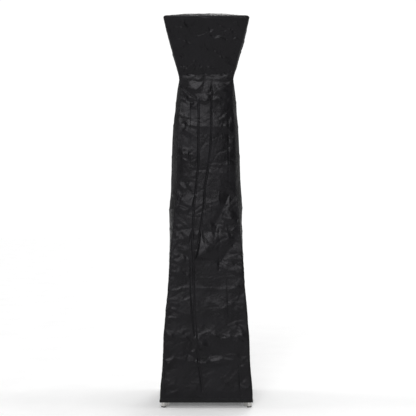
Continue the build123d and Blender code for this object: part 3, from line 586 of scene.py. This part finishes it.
def sheet_faces(grid):
    """Quads of a grid; its rows are joined where the round closes, wherever their two ends meet."""
    index = np.arange(grid.shape[0] * grid.shape[1]).reshape(grid.shape[:2])
    meet = np.abs(grid[:, 0] - grid[:, -1]).max(axis=1) < 1e-5
    index[meet, -1] = index[meet, 0]
    quads = np.stack([index[:-1, :-1], index[:-1, 1:], index[1:, 1:], index[1:, :-1]], axis=-1)
    return quads.reshape(-1, 4)


def drop_unused(points, faces):
    """The points that some face uses, and the faces renumbered to them."""
    used, renumbered = np.unique(np.concatenate([np.ravel(f) for f in faces]), return_inverse=True)
    cuts = np.cumsum([len(f) for f in faces])[:-1]
    return points[used], np.split(renumbered, cuts)


def lay_out(piece):
    """A texture layout in metres: across the cloth round the cover, and up it."""
    mesh = piece.data
    points = np.zeros(len(mesh.vertices) * 3)
    mesh.vertices.foreach_get("co", points)
    points = points.reshape(-1, 3)
    layer = mesh.uv_layers.new(name="cloth")
    normals = np.zeros(len(mesh.polygons) * 3)
    mesh.polygons.foreach_get("normal", normals)
    normals = normals.reshape(-1, 3)
    counts = np.array([len(polygon.vertices) for polygon in mesh.polygons])
    corners = np.zeros(len(mesh.loops), int)
    mesh.loops.foreach_get("vertex_index", corners)
    facing = np.repeat(normals, counts, axis=0)
    at = points[corners]
    level = np.abs(facing[:, 2]) > 0.75
    sideways = np.abs(facing[:, 0]) > np.abs(facing[:, 1])
    u = np.where(sideways & ~level, at[:, 1], at[:, 0])
    v = np.where(level, at[:, 1], at[:, 2])
    layer.data.foreach_set("uv", np.stack([u, v], axis=1).ravel())


def build_cover(cloth):
    """The skirt, and the hood with the yoke below its waist: both pieces, and the rows of points of each."""
    skirt = skirt_sheet(SKIRT_ROWS)
    hood = hood_sheet(HOOD_ROWS, skirt[-1])
    split = int(np.searchsorted(skirt[:, 0, 2], YOKE_Z))
    upper = np.concatenate([skirt[split:], hood[1:]])
    made = []
    for name, grid in (("cover_skirt", skirt[:split + 1]), ("cover_hood", upper)):
        faces = list(sheet_faces(grid))
        if name == "cover_hood":
            middle = len(grid) * grid.shape[1] - np.arange(grid.shape[1], 0, -1)
            faces.append(middle[:-1])
        points, faces = drop_unused(grid.reshape(-1, 3), faces)
        piece = mesh_piece(name, points, faces, cloth)
        lay_out(piece)
        made.append(piece)
    hood_face = hood[1:HOOD_ROWS + 1]
    return *made, skirt[:split + 1], np.concatenate([skirt[split:], hood_face])


# --- trims: binding, stitching and the zip ---
def outward(ring):
    """Level unit vectors pointing out of one round of points."""
    along = np.gradient(ring, axis=0)
    out = np.stack([along[:, 1], -along[:, 0], 0 * along[:, 0]], axis=1)
    return out / np.linalg.norm(out, axis=1, keepdims=True)


def round_at(grid, z):
    """One round of the cover at that height."""
    heights = grid[:, 0, 2]
    k = int(np.clip(np.searchsorted(heights, z) - 1, 0, len(heights) - 2))
    share = (z - heights[k]) / (heights[k + 1] - heights[k])
    return grid[k] * (1 - share) + grid[k + 1] * share


def band(name, grid, section, material):
    """A trim round the cover; section goes round its cross-section as (distance out, height), in metres."""
    rounds = []
    for out, z in section:
        ring = round_at(grid, z)
        rounds.append(ring + outward(ring) * out)
    points = np.stack(rounds)
    rows, columns = points.shape[:2]
    index = np.arange(rows * columns).reshape(rows, columns)
    index[:, -1] = index[:, 0]
    index = np.concatenate([index, index[:1]])
    quads = np.stack([index[:-1, :-1], index[:-1, 1:], index[1:, 1:], index[1:, :-1]], axis=-1)
    points, faces = drop_unused(points.reshape(-1, 3), quads.reshape(-1, 4))
    return mesh_piece(name, points, faces, material)


def copies(name, template, faces, centres, axes, material):
    """Many copies of one small shape, each at a centre and stretched along its own three axes."""
    points = centres[:, None] + np.einsum("nk,mkj->mnj", np.array(template, float), axes)
    offsets = np.arange(len(centres))[:, None, None] * len(template)
    all_faces = (np.array(faces)[None] + offsets).reshape(-1, len(faces[0]))
    return mesh_piece(name, points, all_faces, material)


# one stitch: its ends dip into the cloth
STITCH = [
    (-1, 0, -0.6), (-0.5, 1, 0), (-0.5, 0, 1), (-0.5, -1, 0),
    (0.5, 1, 0), (0.5, 0, 1), (0.5, -1, 0), (1, 0, -0.6),
]
STITCH_FACES = [(0, 2, 1), (0, 3, 2), (7, 4, 5), (7, 5, 6), (1, 2, 5), (1, 5, 4), (2, 3, 6), (2, 6, 5)]
STITCH_PITCH, STITCH_LENGTH, STITCH_THICK = 0.0046, 0.0034, 0.0005


def stitches(name, lines, material):
    """Rows of stitches; each line is (points, vectors pointing out of the cloth)."""
    centres, axes = [], []
    for points, out in lines:
        gone = np.concatenate([[0], np.cumsum(np.linalg.norm(np.diff(points, axis=0), axis=1))])

        def place(at, values):
            return np.stack([np.interp(at, gone, values[:, k]) for k in range(3)], axis=1)

        at = np.arange(STITCH_PITCH, gone[-1] - STITCH_PITCH, STITCH_PITCH)
        ahead = place(at + STITCH_LENGTH / 2, points) - place(at - STITCH_LENGTH / 2, points)
        up = place(at, out)
        up /= np.linalg.norm(up, axis=1, keepdims=True)
        side = np.cross(up, ahead)
        side /= np.linalg.norm(side, axis=1, keepdims=True)
        centres.append(place(at, points) + up * 0.0002)
        axes.append(np.stack([ahead / 2, side * STITCH_THICK, up * STITCH_THICK], axis=1))
    return copies(name, STITCH, STITCH_FACES, np.concatenate(centres), np.concatenate(axes), material)


def line_round(grid, z):
    ring = round_at(grid, z)
    return ring, outward(ring)


def lines_by_corners(grid):
    """A line of sewing up each side of each corner seam."""
    lines = []
    corners = np.cumsum([COLUMNS[BACK] // 2, COLUMNS[LEFT], COLUMNS[FRONT], COLUMNS[RIGHT]])
    for corner in corners:
        for step in (-1, 1):
            points = grid[:, corner] + 0.75 * (grid[:, corner + step] - grid[:, corner])
            across = grid[:, corner + 2 * step] - grid[:, corner]
            out = np.stack([across[:, 1], -across[:, 0], 0 * across[:, 0]], axis=1) * step
            lines.append((points, out))
    return lines


def zip_side_lines(grid, across):
    """A line of sewing beside the zip, on both of its sides."""
    lines = []
    for side in (-1, 1):
        near = grid[:, :8] if side < 0 else grid[:, :-9:-1]
        y = [np.interp(across, np.abs(row[:, 0]), row[:, 1]) for row in near]
        points = np.stack([np.full(len(y), side * across), y, grid[:, 0, 2]], axis=1)
        lines.append((points, np.tile([0.0, 1.0, 0.06], (len(y), 1))))
    return lines


def roll(name, lines, radius, material):
    """Round cords of cloth along lines of points."""
    points, faces = [], []
    turns = np.linspace(0, 2 * math.pi, 8, endpoint=False)
    for line in lines:
        start, count = sum(map(len, points)), len(line)
        ring = np.stack([np.cos(turns), np.sin(turns), 0 * turns], axis=1) * radius
        points.append((line[:, None] + ring[None]).reshape(-1, 3))
        index = start + np.arange(count * 8).reshape(count, 8)
        index = np.concatenate([index, index[:, :1]], axis=1)
        quads = np.stack([index[:-1, :-1], index[:-1, 1:], index[1:, 1:], index[1:, :-1]], axis=-1)
        faces += list(quads.reshape(-1, 4))
    return mesh_piece(name, np.concatenate(points), faces, material)


# one loop of the zip: a short six-sided bar with pointed ends, in millimetres
COIL_PITCH = 0.0028
SIXTHS = [k * math.pi / 3 for k in range(6)]
COIL_LOOP = [(-1.5, 0, 0)]
COIL_LOOP += [(x, 0.5 * math.cos(a), 0.62 * math.sin(a)) for x in (-1.1, 1.1) for a in SIXTHS]
COIL_LOOP += [(1.5, 0, 0)]
COIL_FACES = [(0, 1 + (k + 1) % 6, 1 + k) for k in range(6)]
COIL_FACES += [(13, 7 + k, 7 + (k + 1) % 6) for k in range(6)]
for k in range(6):
    COIL_FACES += [(1 + k, 1 + (k + 1) % 6, 7 + (k + 1) % 6), (1 + k, 7 + (k + 1) % 6, 7 + k)]
# a zip tape's cross-section as (distance from the middle, distance out of the cloth), in millimetres
TAPE_SECTION = [
    (0.6, -1.8), (2.6, -1.8), (4.0, -2.2), (15.6, -2.3), (15.9, -2.6), (15.6, -2.9), (4.0, -2.8), (0.6, -2.3),
]


def build_zip(part, low, high, tape_material, coil_material):
    """One length of zip: the two tapes behind the slit, and the two rows of loops between them."""
    up = np.array([0, -SKIRT_SLOPE, 1]) / math.hypot(1, SKIRT_SLOPE)
    out = np.array([0, 1, SKIRT_SLOPE]) / math.hypot(1, SKIRT_SLOPE)
    foot = np.array([0, WAIST_HALF + SKIRT_SLOPE * (WAIST_Z - low), low])
    length = (high - low) * math.hypot(1, SKIRT_SLOPE)
    levels = np.linspace(0, length, 2 + int(length / 0.008))
    points, faces = [], []
    for side in (-1, 1):
        start = len(points) * len(TAPE_SECTION)
        for level in levels:
            middle = foot + up * level
            points.append([middle + np.array([side * a, 0, 0]) * MM + out * b * MM for a, b in TAPE_SECTION])
        index = start + np.arange(len(levels) * len(TAPE_SECTION)).reshape(len(levels), -1)
        index = np.concatenate([index, index[:, :1]], axis=1)
        quads = np.stack([index[:-1, :-1], index[:-1, 1:], index[1:, 1:], index[1:, :-1]], axis=-1)
        faces += [quad[::-side] for quad in quads.reshape(-1, 4)]
    tapes = mesh_piece(f"cover_zip_tapes_{part}", points, faces, tape_material)
    centres, axes = [], []
    frame_axes = np.stack([np.array([1.0, 0, 0]), up, out]) * MM
    for side in (-1, 1):
        at = np.arange(COIL_PITCH / 2 * (1 + (side > 0)), length, COIL_PITCH)
        centres.append(foot + up * at[:, None] + np.array([side * 1.35 * MM, 0, 0]) - out * 0.35 * MM)
        tilted = frame_axes.copy()
        tilted[0] += up * side * 0.00022
        axes.append(np.tile(tilted, (len(at), 1, 1)))
    centres, axes = np.concatenate(centres), np.concatenate(axes)
    coil = copies(f"cover_zip_coil_{part}", COIL_LOOP, COIL_FACES, centres, axes, coil_material)
    return tapes, coil


# --- materials ---
class Paint:
    """A material built up from nodes on one Principled shader."""

    def __init__(self, name, **sockets):
        self.material = bpy.data.materials.new(name)
        self.material.use_nodes = True
        self.nodes, self.links = self.material.node_tree.nodes, self.material.node_tree.links
        self.shader = self.nodes["Principled BSDF"]
        for socket, value in sockets.items():
            self.shader.inputs[socket.replace("_", " ")].default_value = value

    def place(self, stretch=(1, 1, 1), kind="Object"):
        source = self.nodes.new("ShaderNodeTexCoord")
        mapping = self.nodes.new("ShaderNodeMapping")
        mapping.inputs["Scale"].default_value = stretch
        self.links.new(source.outputs[kind], mapping.inputs["Vector"])
        return mapping.outputs["Vector"]

    def noise(self, place, scale, detail=4.0, roughness=0.55, distortion=0.0, ridged=False):
        node = self.nodes.new("ShaderNodeTexNoise")
        if ridged:
            node.noise_type = "RIDGED_MULTIFRACTAL"
        settings = {"Scale": scale, "Detail": detail, "Roughness": roughness, "Distortion": distortion}
        for socket, value in settings.items():
            node.inputs[socket].default_value = value
        self.links.new(place, node.inputs["Vector"])
        return node.outputs["Fac"]

    def wave(self, place, scale, axis, distortion=0.0):
        node = self.nodes.new("ShaderNodeTexWave")
        node.bands_direction = axis
        node.inputs["Scale"].default_value = scale
        node.inputs["Distortion"].default_value = distortion
        self.links.new(place, node.inputs["Vector"])
        return node.outputs["Fac"]

    def combine(self, kind, a, b):
        node = self.nodes.new("ShaderNodeMath")
        node.operation = kind
        for socket, value in zip(node.inputs, (a, b)):
            if isinstance(value, (int, float)):
                socket.default_value = value
            else:
                self.links.new(value, socket)
        return node.outputs[0]

    def spread(self, value, low, high, start=0.3, end=0.7):
        node = self.nodes.new("ShaderNodeMapRange")
        for socket, number in (("From Min", start), ("From Max", end), ("To Min", low), ("To Max", high)):
            node.inputs[socket].default_value = number
        self.links.new(value, node.inputs["Value"])
        return node.outputs["Result"]

    def colour(self, value, *stops):
        node = self.nodes.new("ShaderNodeValToRGB")
        ramp = node.color_ramp
        while len(ramp.elements) < len(stops):
            ramp.elements.new(0.5)
        for element, (at, tone) in zip(ramp.elements, stops):
            element.position, element.color = at, (*tone, 1)
        self.links.new(value, node.inputs["Fac"])
        self.links.new(node.outputs["Color"], self.shader.inputs["Base Color"])

    def rough(self, value):
        self.links.new(value, self.shader.inputs["Roughness"])

    def bump(self, *heights):
        """Bumps stacked on each other, each as (height, depth in metres)."""
        under = None
        for height, depth in heights:
            node = self.nodes.new("ShaderNodeBump")
            node.inputs["Distance"].default_value = depth
            self.links.new(height, node.inputs["Height"])
            if under:
                self.links.new(under, node.inputs["Normal"])
            under = node.outputs["Normal"]
        self.links.new(under, self.shader.inputs["Normal"])


def tinted(colour, share):
    return tuple(min(1.0, c * share) for c in colour)


def woven(name, dark, light, roughness, pitch, crinkle, **sockets):
    """Coated woven cloth, with a layout in metres."""
    paint = Paint(name, **sockets)
    cloth, solid = paint.place(kind="UV"), paint.place()
    thread = 0.314 / pitch
    weave = paint.combine("MULTIPLY", paint.wave(cloth, thread, "X", 0.4), paint.wave(cloth, thread, "Y", 0.4))
    patches = paint.noise(solid, 9.0, 5.0)
    paint.colour(patches, (0.36, dark), (0.66, light))
    wear = paint.combine("ADD", patches, paint.combine("MULTIPLY", paint.noise(solid, 60.0, 3.0), 0.25))
    paint.rough(paint.spread(wear, roughness - 0.06, roughness + 0.10, 0.45, 0.80))
    fine = paint.noise(solid, 60.0, 3.0, 0.5, 0.6)
    creased = paint.noise(solid, 26.0, 3.0, 0.4, 0.5, ridged=True)
    paint.bump((creased, crinkle), (fine, 0.5 * crinkle), (weave, 0.00006))
    return paint.material


def tape(name, dark, light, pitch):
    """Narrow woven tape, ribbed across."""
    paint = Paint(name, Specular_IOR_Level=0.25)
    solid = paint.place()
    ribs = paint.wave(solid, 0.314 / pitch, "DIAGONAL", 0.3)
    patches = paint.noise(solid, 40.0, 4.0)
    paint.colour(patches, (0.35, dark), (0.65, light))
    paint.rough(paint.spread(patches, 0.62, 0.82))
    paint.bump((ribs, 0.0002))
    return paint.material


def metal(name, colour, roughness, grain, depth=0.00003, spots=18.0, **sockets):
    """Bare or plated metal; grain is how its fine lines are squeezed along x, y and z."""
    paint = Paint(name, Metallic=1.0, **sockets)
    solid = paint.place()
    patches = paint.noise(solid, spots, 5.0, 0.6)
    lines = paint.noise(paint.place(grain), 420.0, 3.0, 0.6)
    both = paint.combine(
        "ADD", paint.combine("MULTIPLY", patches, 0.45), paint.combine("MULTIPLY", lines, 0.55),
    )
    paint.colour(both, (0.30, tinted(colour, 0.90)), (0.52, colour), (0.72, tinted(colour, 1.07)))
    paint.rough(paint.spread(both, roughness - 0.05, roughness + 0.09))
    paint.bump((lines, depth))
    return paint.material


def coated(name, colour, roughness, texture_scale, depth, **sockets):
    """Paint, powder coat or moulded plastic with its fine surface texture and handling marks."""
    paint = Paint(name, **sockets)
    solid = paint.place()
    marks = paint.noise(solid, 24.0, 6.0, 0.65)
    skin = paint.noise(solid, texture_scale, 2.0, 0.5)
    paint.colour(marks, (0.32, tinted(colour, 0.80)), (0.55, colour), (0.74, tinted(colour, 1.25)))
    paint.rough(paint.spread(marks, roughness - 0.06, roughness + 0.12))
    paint.bump((skin, depth))
    return paint.material


cloth = woven(
    "coated_polyester", (0.0030, 0.0029, 0.0034), (0.0052, 0.0050, 0.0060), 0.36, 0.0006, 0.0018,
    Specular_IOR_Level=0.17, Specular_Tint=(0.97, 0.95, 1.0, 1.0),
)
binding_cloth = tape("binding_tape", (0.0040, 0.0040, 0.0045), (0.0080, 0.0078, 0.0088), 0.0009)
tape_cloth = tape("zip_tape", (0.0060, 0.0060, 0.0066), (0.0120, 0.0118, 0.0130), 0.0007)
thread = coated("thread", (0.012, 0.012, 0.013), 0.50, 2400.0, 0.0001)
SLOT_PAINTS = {
    "stainless": metal("stainless", (0.60, 0.59, 0.57), 0.30, (1.0, 1.0, 0.02), Anisotropic=0.4),
    "galvanised": metal("galvanised", (0.52, 0.53, 0.54), 0.46, (0.3, 0.3, 0.3), 0.00006, 34.0),
    "plated_steel": metal("plated_steel", (0.63, 0.63, 0.62), 0.28, (1.0, 1.0, 1.0)),
    "brass": metal("brass", (0.66, 0.46, 0.19), 0.30, (1.0, 1.0, 0.1)),
    "heatproof_steel": metal("heatproof_steel", (0.40, 0.34, 0.29), 0.42, (1.0, 1.0, 0.05), 0.00005, 11.0),
    "regulator_metal": metal("regulator_metal", (0.48, 0.49, 0.51), 0.44, (0.5, 0.5, 0.5), 0.00012),
    "seat_ring_aluminium": metal("seat_ring_aluminium", (0.58, 0.58, 0.59), 0.34, (0.05, 0.05, 1.0)),
    "reflector_aluminium": metal("reflector_aluminium", (0.70, 0.70, 0.71), 0.24, (0.02, 1.0, 1.0), 0.00002),
    "zip_metal": metal("zip_metal", (0.30, 0.30, 0.31), 0.32, (1.0, 1.0, 1.0)),
    "black_plastic": coated("black_plastic", (0.018, 0.018, 0.018), 0.46, 900.0, 0.00012),
    "red_plastic": coated("red_plastic", (0.40, 0.018, 0.012), 0.30, 500.0, 0.00004),
    "handwheel_plastic": coated("handwheel_plastic", (0.022, 0.022, 0.024), 0.48, 1100.0, 0.00014),
    "zip_plastic": coated("zip_plastic", (0.012, 0.012, 0.013), 0.36, 1600.0, 0.00003),
    "guard_paint": coated("guard_paint", (0.014, 0.014, 0.014), 0.42, 1300.0, 0.00010),
    "cylinder_paint": coated("cylinder_paint", (0.33, 0.36, 0.39), 0.34, 260.0, 0.00012, Coat_Weight=0.3),
    "ceramic": coated("ceramic", (0.80, 0.78, 0.73), 0.22, 180.0, 0.00005),
    "hose_rubber": coated("hose_rubber", (0.016, 0.016, 0.017), 0.62, 700.0, 0.00020),
    "flame_glass": coated(
        "flame_glass", (0.93, 0.96, 0.95), 0.07, 40.0, 0.00004, Transmission_Weight=1.0, IOR=1.47,
    ),
}
COVER_SLOTS = {"cover_cloth": cloth, "cover_binding": binding_cloth}
SLOT_PAINTS.update(COVER_SLOTS)
for part in frame["record"]["subparts"]:
    node = nodes[part["node"]]
    node.data.materials.clear()
    node.data.materials.append(SLOT_PAINTS[part["material_slot"]])

# --- the cover ---
skirt_piece, hood_piece, skirt, upper = build_cover(cloth)
hem = band("cover_hem_fold", skirt, [
    (-0.0012, 0.0425), (-0.0018, 0.0320), (-0.0012, 0.0302), (0.0, 0.0296), (0.0012, 0.0302), (0.0020, 0.0320),
    (0.0020, 0.0405), (0.0011, 0.0428), (0.0, 0.0428),
], binding_cloth)
low_tapes, low_coil = build_zip("low", ZIP_LOW, YOKE_Z, tape_cloth, SLOT_PAINTS["zip_plastic"])
high_tapes, high_coil = build_zip("high", YOKE_Z, ZIP_HIGH, tape_cloth, SLOT_PAINTS["zip_plastic"])


def zip_edges(name, grid):
    """The turned edges of the slit."""
    beside = grid[(grid[:, 0, 2] > ZIP_LOW) & (grid[:, 0, 2] < ZIP_HIGH)]
    return roll(name, [beside[:, 0], beside[:, -1]], 0.0004, cloth)


low_edges = zip_edges("cover_zip_edges_low", skirt)
high_edges = zip_edges("cover_zip_edges_high", upper)

# sewing: two lines over the hem, one each side of the waist and of every corner seam, two each side of the zip
HEM_SEWING = (0.0460, 0.0520)
ZIP_SEWING = (0.0065, 0.0125)
WAIST_SEWING = 0.0085
RIM_SEWING = 0.009
zip_part = skirt[skirt[:, 0, 2] > ZIP_LOW - 0.02]
below_waist = upper[upper[:, 0, 2] < WAIST_Z - 0.004]
above_waist = upper[upper[:, 0, 2] > WAIST_Z + 0.006]
low_lines = [line_round(skirt, z) for z in HEM_SEWING] + lines_by_corners(skirt[3:])
high_lines = lines_by_corners(below_waist) + lines_by_corners(above_waist[:-2])
for across in ZIP_SEWING:
    low_lines += zip_side_lines(zip_part, across)
    high_lines += zip_side_lines(below_waist, across)
for z in (WAIST_Z - WAIST_SEWING, WAIST_Z + WAIST_SEWING, RIM_Z - RIM_SEWING):
    high_lines.append(line_round(upper, z))
low_sewing = stitches("cover_sewing_low", low_lines, thread)
high_sewing = stitches("cover_sewing_high", high_lines, thread)

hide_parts(*SKIRT_NODES)
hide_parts("cover_top_panel")
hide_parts("cover_hem_binding")
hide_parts("cover_zip_tapes")
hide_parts("cover_zip_teeth")
low_pieces = [hem, low_tapes, low_coil, low_edges, low_sewing]
# the skirt is held up by hand to open the door
for piece in (skirt_piece, *low_pieces):
    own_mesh(piece)

# --- floor, light and camera ---
ring = np.linspace(0, 2 * math.pi, 96, endpoint=False)
radii = (0.0, 0.5, 1.0, 2.0, 4.0, 8.0, 16.0, 30.0)
floor_points = [(0, 0, 0)] + [(r * math.cos(a), r * math.sin(a), 0) for r in radii[1:] for a in ring]
floor_faces = [(0, 1 + k, 1 + (k + 1) % 96) for k in range(96)] + [
    (1 + r * 96 + k, 1 + (r + 1) * 96 + k, 1 + (r + 1) * 96 + (k + 1) % 96, 1 + r * 96 + (k + 1) % 96)
    for r in range(len(radii) - 2) for k in range(96)
]
floor_mesh = bpy.data.meshes.new("floor")
floor_mesh.from_pydata(floor_points, [], floor_faces)
floor = bpy.data.objects.new("floor", floor_mesh)
bpy.context.scene.collection.objects.link(floor)
floor_paint = Paint(
    "floor_paint", Emission_Color=(1, 1, 1, 1), Emission_Strength=0.10, Specular_IOR_Level=0.1,
)
floor_grain = floor_paint.noise(floor_paint.place(), 3.0, 6.0, 0.6)
floor_paint.colour(floor_grain, (0.30, (0.86, 0.86, 0.86)), (0.70, (0.90, 0.90, 0.90)))
floor_paint.rough(floor_paint.spread(floor_grain, 0.60, 0.75))
floor_mesh.materials.append(floor_paint.material)

# a white backdrop, and a dim room as light
world = bpy.data.worlds.new("studio")
world.use_nodes = True
sky = world.node_tree
rays = sky.nodes.new("ShaderNodeLightPath")
brightness = sky.nodes.new("ShaderNodeMapRange")
brightness.inputs["To Min"].default_value = ROOM_LIGHT
brightness.inputs["To Max"].default_value = BACKDROP
sky.links.new(rays.outputs["Is Camera Ray"], brightness.inputs["Value"])
sky.links.new(brightness.outputs["Result"], sky.nodes["Background"].inputs["Strength"])
sky.nodes["Background"].inputs["Color"].default_value = (1, 1, 1, 1)
bpy.context.scene.world = world


# suns as (where from, strength, width in degrees)
STUDIO_LIGHTS = {
    "ceiling": ((0.2, 0.5, 3.0), 1.1, 40),
    "key": ((-0.30, -1.75, 0.85), 1.5, 24),
    "behind": ((0.5, 1.8, 1.0), 0.9, 24),
    "left": ((-1.8, 0.2, 1.1), 0.6, 24),
    "right": ((1.8, 0.1, 1.0), 0.6, 24),
}
for name, (place, strength, width) in STUDIO_LIGHTS.items():
    lamp = bpy.data.lights.new(name, "SUN")
    lamp.energy, lamp.angle = strength, math.radians(width)
    light = bpy.data.objects.new(name, lamp)
    light.location = place
    light.rotation_euler = (-Vector(place)).to_track_quat("-Z", "Y").to_euler()
    bpy.context.scene.collection.objects.link(light)

# square on to the front, at half height
CAMERA_PLACE = (0.0092, -5.3635, 1.1309)
CAMERA_LENS = 78.0
lens = bpy.data.cameras.new("camera")
lens.sensor_width, lens.lens = 36.0, CAMERA_LENS
camera = bpy.data.objects.new("camera", lens)
camera.location = CAMERA_PLACE
camera.rotation_euler = (math.pi / 2, 0, 0)
bpy.context.scene.collection.objects.link(camera)
bpy.context.scene.camera = camera
bpy.context.scene.view_settings.view_transform = "Standard"
